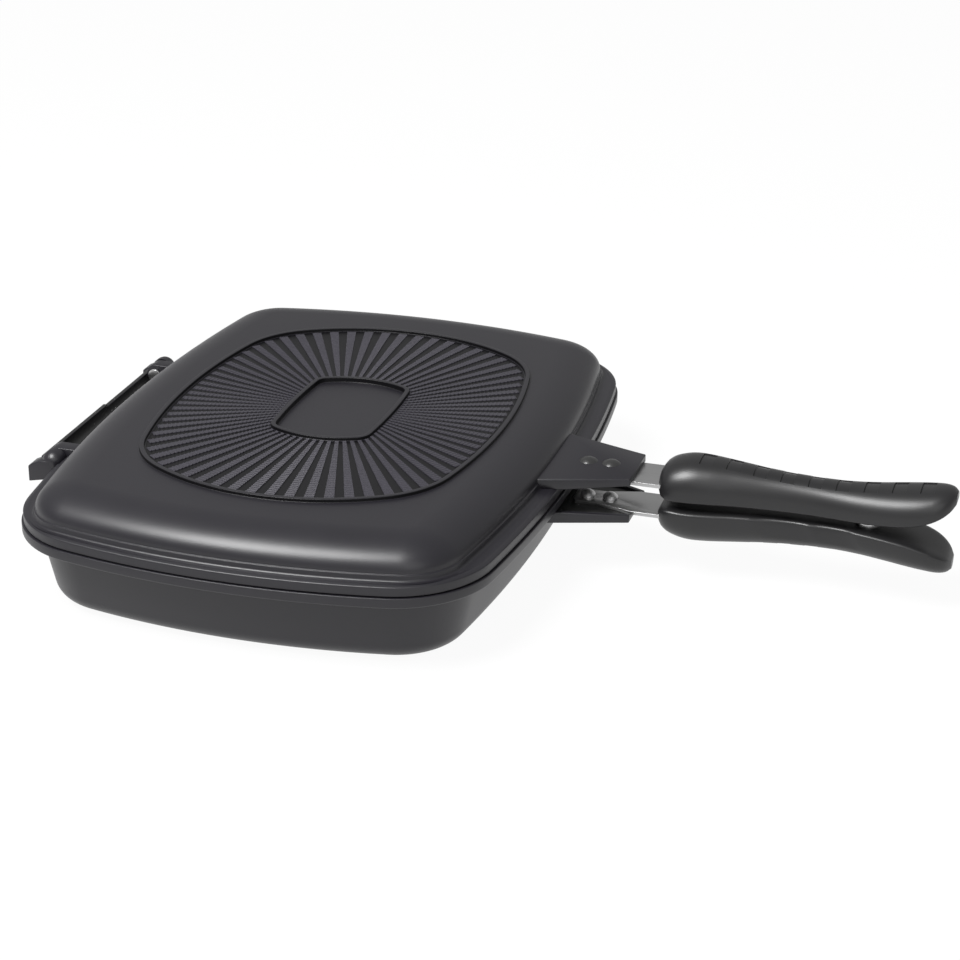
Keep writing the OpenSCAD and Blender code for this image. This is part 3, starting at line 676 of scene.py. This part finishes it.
def makeRays():
    spread = math.tan(math.pi / face["rays"] * face["rayShare"])
    floor = seamZ + domeSizes["height"]
    points, faces, spines = [], [], []
    for ray in range(face["rays"]):
        turn = 2 * math.pi * (ray + 0.5) / face["rays"]
        turn = (turn + math.pi) % (2 * math.pi) - math.pi
        out = np.array([math.cos(turn), math.sin(turn)])
        side = np.array([-out[1], out[0]])
        ends = rayEnds(turn)
        first = len(points)
        for rise, lean in ((-face["footing"], face["lean"]), (face["padRise"], 0.0)):
            for distance, reach in ((ends[0], -lean), (ends[1], lean)):
                for hand in (-1, 1):
                    spot = out * (distance + reach) + side * hand * (distance * spread + lean)
                    points.append((spot[0] + face["ahead"], spot[1], floor + rise))
        faces += [[first + place for place in corners] for corners in (
            (0, 1, 3, 2), (4, 6, 7, 5), (0, 4, 5, 1), (1, 5, 7, 3), (3, 7, 6, 2), (2, 6, 4, 0))]
        for distance in (ends[0] + face["ribEnds"], ends[1] - face["ribEnds"]):
            spines.append((out[0] * distance + face["ahead"], out[1] * distance, floor + face["padRise"]))
    pads = meshPiece("rayPads", points, faces, ["rayPaint"], sharp=20)
    turnOutwards(pads)
    half, rise = face["ribW"] / 2, face["ribRise"]
    rib = meshPiece("ribShape", [(-half, -1000, -0.05), (half, -1000, -0.05), (0, -1000, rise),
                                 (-half, 1000, -0.05), (half, 1000, -0.05), (0, 1000, rise)],
                    [(0, 1, 2), (5, 4, 3), (0, 2, 5, 3), (2, 1, 4, 5), (1, 0, 3, 4)], ["rayPaint"], sharp=20)
    ribs = grownFrom("rayRibs", ribsAlongRays, spines,
                     [(place, place + 1) for place in range(0, len(spines), 2)],
                     {"Rib": rib, "Pitch": face["ribPitch"] / 1000,
                      "Middle": (face["ahead"] / 1000, 0, (floor + face["padRise"]) / 1000),
                      "Spread": spread, "Finish": finishes["rayPaint"]}, sharp=10)
    bpy.data.objects.remove(rib)
    return joined("faceRays", [pads, ribs])


faceRays = makeRays()
place(faceRays, "lid", "cast_body")
print("rays made:", face["rays"], "with", len(faceRays.data.polygons), "faces")

hingeSizes = {"troughR": 5.8, "troughWall": 2.2, "troughTop": -0.6, "troughStep": 1.0, "stepY": 7,
              "troughEnd": 3.2, "troughEdge": 0.35, "earR": 5.2, "earY": 53.4, "earW": 8, "earEdge": 0.4,
              "lugW": 8, "gap": 0.5, "tailReach": 11.6, "tailEndH": 8, "tailDrop": 2.4,
              "tailSlope": (1.3, 1.1), "tailRootZ": -8.4, "plateEdge": 0.5, "rimPlay": 0.3,
              "ledgeReach": 1.2, "rootReach": 3.4, "rootDrop": 2.6, "topZ": 1.4, "shoulderZ": 0.9,
              "pinHalf": 2, "bossR": 5.5, "bossTop": 7.97,
              "bossDome": ((0, 3.2), (0.35, 4.8), (1.2, 6.3), (2.6, 7.5), (3.6, 7.95))}


def mirroredPair(name, build):
    return joined(name, [build(hand) for hand in (-1, 1)])


# Moves a part turned about Z onto the hinge axis, at y.
def onHinge(y, turn):
    spot = [value / 1000 for value in (hinge[0], y, hinge[2])]
    return Matrix.Translation(spot) @ Matrix.Rotation(turn, 4, "X")


def lugAt(hand):
    h = hingeSizes
    first = h["earY"] + h["earW"] + h["gap"]
    ledge = -hinge[0] - pans["halfX"] - pans["rimStep"] + rim.recede(first + h["lugW"] / 2)
    ledge += h["ledgeReach"]
    root = -hinge[0] - pans["halfX"] + pans["ledgeInset"] + h["rootReach"]
    rimTop = seamZ - hinge[2] - h["rimPlay"]
    rimUnder = rimTop - pans["lowerRimH"] + 2 * h["rimPlay"]
    profile = [(-h["tailReach"], -h["tailDrop"] - h["tailEndH"]), (-h["tailReach"], -h["tailDrop"]),
               (h["tailSlope"][0] - h["tailReach"], h["tailSlope"][1] - h["tailDrop"]),
               (-h["bossR"], h["shoulderZ"]), (0, h["topZ"]), (h["pinHalf"], rimTop), (ledge, rimTop),
               (ledge, rimUnder), (root, rimUnder), (root, rimUnder - h["rootDrop"]),
               (-h["pinHalf"], h["tailRootZ"])]
    points = [(hinge[0] + x, hand * first, hinge[2] + z) for x, z in profile]
    plate = bevelled(prism("lugPlate", points, (0, hand * h["lugW"], 0), ["castPaint"]), h["plateEdge"])
    cap = [(h["bossR"] - inset, height) for inset, height in h["bossDome"]]
    boss = turned("lugBoss", [(0, 0), (h["bossR"], 0)] + cap + [(0, h["bossTop"])], ["castPaint"], sharp=50)
    boss.data.transform(onHinge(hand * first, -hand * math.pi / 2))
    return joined("lug", [plate, boss])


def earAt(hand):
    h = hingeSizes
    root = -hinge[0] - domeSizes["halfX"] - domeSizes["back"] + dome.recede(h["earY"] + h["earW"]) + 1
    under = seamZ - hinge[2] + pans["seamGap"]
    profile = arc((0, 0), h["earR"], 80, 270, 24) + [(0, under), (root, under), (root, h["earR"] - 0.1)]
    points = [(hinge[0] + x, hand * h["earY"], hinge[2] + z) for x, z in profile]
    return bevelled(prism("ear", points, (0, hand * h["earW"], 0), ["castPaint"]), h["earEdge"])


def troughPart(first, last, top):
    h = hingeSizes
    outer, inner = h["troughR"] + h["troughWall"], h["troughR"]
    profile = arc((0, 0), outer, 180 - math.degrees(math.asin(top / outer)),
                  360 - math.degrees(math.acos(h["troughEnd"] / outer)), 26)
    profile += arc((0, 0), inner, 360 - math.degrees(math.acos(h["troughEnd"] / inner)),
                   180 - math.degrees(math.asin(top / inner)), 24)
    points = [(hinge[0] + x, first, hinge[2] + z) for x, z in profile]
    return prism("troughPart", points, (0, last - first, 0), ["castPaint", "nonStick"],
                 lambda step: 1 if step >= 26 else 0, sharp=30)


def makeTrough():
    h = hingeSizes
    end = h["earY"] + h["earW"] + h["gap"] + 0.4
    near = troughPart(-end, h["stepY"], h["troughTop"] + h["troughStep"])
    far = troughPart(h["stepY"], end, h["troughTop"])
    return joined("dripTrough", [bevelled(part, h["troughEdge"], 50) for part in (near, far)])


# Takes rods on the hinge axis out of a piece.
def bored(piece, rods):
    cutters = []
    for radius, first, last in rods:
        rod = turned("hingeBore", [(0, first), (radius, first), (radius, last), (0, last)], ["castPaint"], 64)
        rod.data.transform(onHinge(0, -math.pi / 2))
        cut = piece.modifiers.new("bore", "BOOLEAN")
        cut.operation = "DIFFERENCE"
        cut.solver = "EXACT"
        cut.object = rod
        cutters.append(rod)
    graph = bpy.context.evaluated_depsgraph_get()
    mesh = bpy.data.meshes.new_from_object(piece.evaluated_get(graph))
    piece.modifiers.clear()
    mesh.name = piece.name
    piece.data = mesh
    for rod in cutters:
        bpy.data.objects.remove(rod)
    mesh.set_sharp_from_angle(angle=math.radians(35))
    return piece


earFar = hingeSizes["earY"] + hingeSizes["earW"]
lugFar = earFar + hingeSizes["lugW"] + 2 * hingeSizes["gap"]
lugBore = hingeSizes["bossR"] + hingeSizes["gap"]
bored(upperCasting, [(hingeSizes["troughR"], -hingeSizes["earY"], hingeSizes["earY"]),
                     (lugBore, earFar, lugFar), (lugBore, -lugFar, -earFar)])
bored(lowerCasting, [(hingeSizes["troughR"], -earFar - hingeSizes["gap"], earFar + hingeSizes["gap"])])
hingeLugs = place(mirroredPair("hingeLugs", lugAt), "base", "cast_body")
hingeEars = place(mirroredPair("hingeEars", earAt), "lid", "cast_body")
dripTrough = place(makeTrough(), "base", "cast_body")
print("hinge made")

bracket = {"length": 32.2, "rootHalf": 25.9, "tipHalf": 15.4, "plate": 2.8, "wall": 2.8, "rootH": 5.6,
           "tipH": 3.8, "halfH": 11.4, "drop": 0.8, "upperStart": 110.6, "lowerStart": 111.2,
           "rimGap": 1.3, "edge": 0.7}
handleZ = seamZ - bracket["drop"]


def makeBracket(name, hand, start):
    b = bracket
    tip = pans["halfX"] + b["length"]
    rows = []
    for x in (start, pans["halfX"] + b["rimGap"], tip):
        along = (x - pans["halfX"]) / b["length"]
        half = b["rootHalf"] + (b["tipHalf"] - b["rootHalf"]) * along
        deep = b["rootH"] + (b["tipH"] - b["rootH"]) * max(along, 0)
        top = b["halfH"]
        rows.append([(x, y, handleZ + hand * z) for y, z in (
            (-half, top), (half, top), (half, top - deep), (half - b["wall"], top - deep),
            (half - b["wall"], top - b["plate"]), (b["wall"] - half, top - b["plate"]),
            (b["wall"] - half, top - deep), (-half, top - deep))])
    points = [point for row in rows for point in row]
    faces, indices, count = [], [], len(rows[0])
    last = (len(rows) - 1) * count
    for first in range(0, last, count):
        faces += band(first, first + count, count)
        indices += [1 if step in (3, 4, 5) else 0 for step in range(count)]
    for base in (0, last):
        for corners in ((0, 1, 4, 5), (1, 2, 3, 4), (0, 5, 6, 7)):
            faces.append([base + place for place in corners])
            indices.append(0)
    piece = meshPiece(name, points, faces, ["castPaint", "nonStick"], indices)
    return bevelled(piece, b["edge"], 40)


upperBracket = place(makeBracket("upperBracket", 1, bracket["upperStart"]), "lid", "cast_body")
lowerBracket = place(makeBracket("lowerBracket", -1, bracket["lowerStart"]), "base", "cast_body")
print("brackets made")


# A merged copy of a construction part with its edges rounded.
def dressedCopy(node, name, finish, body, slot, edge, sharp=35):
    mesh = frame["nodes"][node].data.copy()
    mesh.name = name
    mesh.materials.clear()
    mesh.materials.append(finishes[finish])
    return place(bevelled(linked(name, mesh), edge, sharp), body, slot, node)


dressedCopy("lower_strip", "lowerStrip", "steel", "base", "handle_strips", 0.35)
dressedCopy("upper_strip", "upperStrip", "steel", "lid", "handle_strips", 0.35)

rivet = {"x": (128.2, 139.4), "shankR": 2.2, "headR": 4.4, "headH": 1.8, "tailR": 3.6, "tailH": 1.9,
         "washerR": 3.7, "washerT": 1.2, "stripT": 1.8, "lowEdge": 0.25, "topEdge": 0.1}


def capProfile(radius, height, steps=9):
    ball = (radius ** 2 + height ** 2) / (2 * height)
    sweep = math.asin(radius / ball)
    return [(ball * math.sin(sweep * (1 - step / steps)),
             ball * math.cos(sweep * (1 - step / steps)) - ball + height) for step in range(steps + 1)]


# From the peened tail's tip up to the head's tip, over the handle's middle plane.
def rivetProfile():
    r, b = rivet, bracket
    seat = b["halfH"] - b["plate"] - r["stripT"] - r["washerT"]
    tail = [(radius, seat - height) for radius, height in capProfile(r["tailR"], r["tailH"])][::-1]
    head = [(radius, b["halfH"] + height) for radius, height in capProfile(r["headR"], r["headH"])]
    return [(0, tail[0][1])] + tail[1:] + [(r["shankR"], seat), (r["shankR"], b["halfH"])] + head[:-1] + [
        (0, head[-1][1])]


def rowOf(name, hand, profile, finish, body, slot, node):
    part = turned(name + "Shape", [(radius, hand * height) for radius, height in profile], [finish])
    points = [(x, 0, handleZ) for x in rivet["x"]]
    piece = grownFrom(name, partsAtPoints, points, [], {"Part": part, "Finish": finishes[finish]}, 40)
    bpy.data.objects.remove(part)
    return place(piece, body, slot, node)


def washerProfile():
    r, b = rivet, bracket
    top = b["halfH"] - b["plate"] - r["stripT"]
    low = top - r["washerT"]
    return [(r["shankR"], low), (r["washerR"] - r["lowEdge"], low), (r["washerR"], low + r["lowEdge"]),
            (r["washerR"], top - r["topEdge"]), (r["washerR"] - r["topEdge"], top), (r["shankR"], top)]


for side, hand, body in (("lower", -1, "base"), ("upper", 1, "lid")):
    rowOf(side + "Rivets", hand, rivetProfile(), "brightRivet" if hand < 0 else "darkRivet", body,
          "bright_rivets" if hand < 0 else "dark_rivets", side + "_rivets")
    rowOf(side + "Washers", hand, washerProfile(), "brightRivet", body, "bright_rivets",
          side + "_rivet_washers")
    for node, finish, slot in (("grip_screws", "zinc", "screws"), ("magnet", "nickel", "magnets")):
        dressedCopy(f"{side}_{node}", side + node.title().replace("_", ""), finish, body, slot, 0.15)
for side in ("left", "right"):
    dressedCopy(side + "_hinge_pin", side + "HingePin", "pinSteel", "base", "hinge_pins", 0.25)
print("strips, rivets, screws, magnets and pins made")

# The grips: rows of share of the length, half width, inner face and height.
grip = {"start": 165, "length": 138, "gapHalf": 1.8,
        "rows": [[0, 9.5, 3.4, 8], [0.012, 13, 1.2, 12.6], [0.04, 15.6, 0, 16.4], [0.1, 16.4, 0, 18.6],
                 [0.17, 15.4, 0, 18.6], [0.26, 13.2, 0, 17.6], [0.38, 11.4, 0, 16], [0.5, 10.9, 0, 15],
                 [0.61, 11.7, 0, 14.6], [0.7, 13.2, 0.1, 15], [0.78, 14.6, 0.8, 15.4], [0.85, 15.2, 2, 15.4],
                 [0.91, 14.6, 4.2, 14.2], [0.955, 12.6, 7, 12], [0.985, 9, 10, 8.6], [1, 5, 12.6, 4.6]],
        "waves": 9, "waveStart": 0.155, "wavePitch": 0.0935, "waveLength": 6.4, "waveHalf": 6.5,
        "waveDepth": 0.7, "waveEdge": 0.16, "edgeShare": 0.12, "round": 0.85, "underRound": 0.35,
        "least": 0.5}
scoop = {"lobes": ((0.435, 0.105), (0.60, 0.085)), "depth": 1.9, "low": 0.62}


# Half width, inner face and height of a grip, a share of the way along it.
def smoothRow(share):
    table = np.array(grip["rows"], float)
    place = min(max(int(np.searchsorted(table[:, 0], share)) - 1, 0), len(table) - 2)
    before, after = table[place], table[place + 1]
    slopes = []
    for row in (place, place + 1):
        low, high = table[max(row - 1, 0)], table[min(row + 1, len(table) - 1)]
        slopes.append((high - low) / (high[0] - low[0]))
    width = after[0] - before[0]
    t = (share - before[0]) / width
    value = ((2 * t ** 3 - 3 * t ** 2 + 1) * before + (t ** 3 - 2 * t ** 2 + t) * width * slopes[0]
             + (3 * t ** 2 - 2 * t ** 3) * after + (t ** 3 - t ** 2) * width * slopes[1])
    return value[1:]


def waveCentres():
    return [grip["start"] + grip["length"] * (grip["waveStart"] + wave * grip["wavePitch"])
            for wave in range(grip["waves"])]


def gripStations():
    start, length = grip["start"], grip["length"]
    xs = [start + length * share for share in (0, 0.002, 0.005, 0.012, 0.02, 0.03)]
    xs += [start + length * (0.04 + 0.925 * step / 80) for step in range(81)]
    xs += [start + length * share for share in (0.975, 0.983, 0.99, 0.995, 0.998, 1)]
    half, edge = grip["waveLength"] / 2, grip["waveEdge"]
    for middle in waveCentres():
        xs += [middle + offset for offset in (-half, edge - half, half - edge, half)]
    kept = []
    for x in sorted(xs):
        if not kept or x - kept[-1] > 0.05:
            kept.append(x)
    return kept


def inWave(x):
    half, edge = grip["waveLength"] / 2, grip["waveEdge"]
    for middle in waveCentres():
        away = abs(x - middle)
        if away < half - 0.001:
            return min(1.0, (half - away) / edge)
    return 0.0


def gripSection(x, scooped):
    share = (x - grip["start"]) / grip["length"]
    half, inner, height = smoothRow(min(max(share, 0), 1))
    half, height = max(half, grip["least"]), max(height, grip["least"])
    base = grip["gapHalf"] + inner
    wave, bend, edge = grip["waveHalf"], grip["round"], grip["edgeShare"]
    fixed = [0, wave * 0.3, wave * 0.6, wave * 0.85, wave - grip["waveEdge"], wave]
    if half < wave * 1.25:
        fixed = [value * half / (wave * 1.6) for value in fixed]
    backs = []
    for y in fixed:
        backs.append((y, edge + (1 - edge) * max(1 - (y / half) ** (2 / bend), 0) ** (bend / 2)))
    first = math.acos((fixed[-1] / half) ** (1 / bend))
    for step in range(1, 13):
        turn = first * (1 - step / 12)
        backs.append((half * math.cos(turn) ** bend, edge + (1 - edge) * math.sin(turn) ** bend))
    points = []
    depth = grip["waveDepth"] * inWave(x)
    for place, (y, level) in enumerate(backs):
        z = base + height * level
        if place < 5:
            z -= depth
        points.append((y, z))
    for step in range(1, 7):
        turn = math.pi / 2 * step / 6
        points.append((half * math.cos(turn) ** grip["underRound"] if step < 6 else 0.0,
                       base + edge * height * (1 - math.sin(turn) ** bend)))
    right = [(scooped(share, y, z, base, height, half), z) for y, z in points]
    left = [(-y, z) for y, z in right]
    return right + left[-2:0:-1]


def plainSide(share, y, *rest):
    return y


# The finger scoops press the side of the grip in, most at its inner edge.
def scoopedSide(share, y, z, base, height, half):
    level = (z - base) / height
    if level > scoop["low"] or y < half * 0.55:
        return y
    press = 0.0
    for middle, reach in scoop["lobes"]:
        lean = middle + (level - 0.2) * 0.06
        away = abs(share - lean) / reach
        if away < 1:
            press = max(press, (1 - away ** 3) ** 1.2)
    fade = (1 - level / scoop["low"]) ** 0.8
    return y - scoop["depth"] * press * fade


def makeGrip(name, hand, side):
    stations = gripStations()
    points, faces = [], []
    for x in stations:
        section = gripSection(x, side)
        points += [(x, y, handleZ + hand * z) for y, z in section]
    count = len(section)
    for row in range(len(stations) - 1):
        faces += band(row * count, (row + 1) * count, count)
    for row in (0, len(stations) - 1):
        middle = len(points)
        ringPoints = points[row * count:(row + 1) * count]
        points.append(tuple(np.mean(ringPoints, 0)))
        faces += [(row * count + step, row * count + (step + 1) % count, middle) for step in range(count)]
    return turnOutwards(meshPiece(name, points, faces, ["phenolic"], sharp=38))


upperGrip = place(makeGrip("upperGrip", 1, plainSide), "lid", "grips", "upper_grip")
lowerGrip = place(makeGrip("lowerGrip", -1, scoopedSide), "base", "grips", "lower_grip")
print("grips made")

floorSizes = {"half": 7.0, "shade": 0.86, "glow": 0.94, "worldLight": 0.42}


def makeFloor():
    half = floorSizes["half"]
    mesh = bpy.data.meshes.new("floor")
    mesh.from_pydata([(-half, -half, 0), (half, -half, 0), (half, half, 0), (-half, half, 0)], [],
                     [(0, 1, 2, 3)])
    floor = linked("floor", mesh)
    material = bpy.data.materials.new("paleFloor")
    material.use_nodes = True
    graph = Graph(material.node_tree)
    seen = sightOf(graph)
    matt = graph.node("ShaderNodeBsdfDiffuse", values={"Color": grey(floorSizes["shade"])})
    glow = graph.node("ShaderNodeEmission", values={"Color": grey(1.0), "Strength": 1.0})
    mixed = graph.node("ShaderNodeMixShader", values={0: seen * floorSizes["glow"], 1: matt, 2: glow})
    graph.node("ShaderNodeOutputMaterial", values={"Surface": mixed})
    mesh.materials.append(material)


# 1 where the background is seen, straight or in a shiny surface.
def sightOf(graph):
    camera = graph.node("ShaderNodeLightPath", out="Is Camera Ray")
    gloss = graph.node("ShaderNodeLightPath", out="Is Glossy Ray")
    through = graph.node("ShaderNodeLightPath", out="Is Transmission Ray")
    return (camera + gloss + through).atMost(1.0)


def makeWorld():
    world = bpy.data.worlds.new("studio")
    bpy.context.scene.world = world
    world.use_nodes = True
    graph = Graph(world.node_tree)
    camera = graph.node("ShaderNodeLightPath", out="Is Camera Ray")
    strength = camera * (1 - floorSizes["worldLight"]) + floorSizes["worldLight"]
    sky = graph.node("ShaderNodeBackground", values={"Color": grey(1.0), "Strength": strength})
    graph.node("ShaderNodeOutputWorld", values={"Surface": sky})


lamps = {"frontSoftbox": {"direction": (-0.27, -0.44, 0.845), "distance": 1.5, "size": 0.75, "power": 36},
         "wideFill": {"direction": (0.5, -0.9, 0.6), "distance": 2.2, "size": 1.6, "power": 8}}


def softLamp(name, direction, distance, size, power, target=(0.03, -0.02, 0.03)):
    data = bpy.data.lights.new(name, "AREA")
    data.shape = "DISK"
    data.size = size
    data.energy = power
    lamp = linked(name, data)
    toward = Vector(direction).normalized()
    lamp.location = Vector(target) + toward * distance
    lamp.rotation_euler = toward.to_track_quat("Z", "Y").to_euler()


view = {"azimuth": 17.47, "elevation": 24.15, "roll": 0.18, "target": (0.08126, -0.02365, 0.04389),
        "distance": 1.16428, "lens": 91.82}


def makeCamera():
    turn, lift, roll = (math.radians(view[name]) for name in ("azimuth", "elevation", "roll"))
    back = Vector((math.sin(turn) * math.cos(lift), -math.cos(turn) * math.cos(lift), math.sin(lift)))
    right = Vector((math.cos(turn), math.sin(turn), 0))
    up = back.cross(right)
    across = right * math.cos(roll) + up * math.sin(roll)
    upright = back.cross(across)
    data = bpy.data.cameras.new("photoCamera")
    data.sensor_width = 36
    data.sensor_fit = "HORIZONTAL"
    data.lens = view["lens"]
    data.clip_start = 0.01
    camera = linked("photoCamera", data)
    camera.matrix_world = Matrix.Translation(Vector(view["target"]) + back * view["distance"]) @ Matrix(
        (across, upright, back)).transposed().to_4x4()
    bpy.context.scene.camera = camera


makeFloor()
makeWorld()
for name, lamp in lamps.items():
    softLamp(name, **lamp)
makeCamera()
bpy.context.scene.view_settings.view_transform = "Standard"
print("floor, light and camera made")
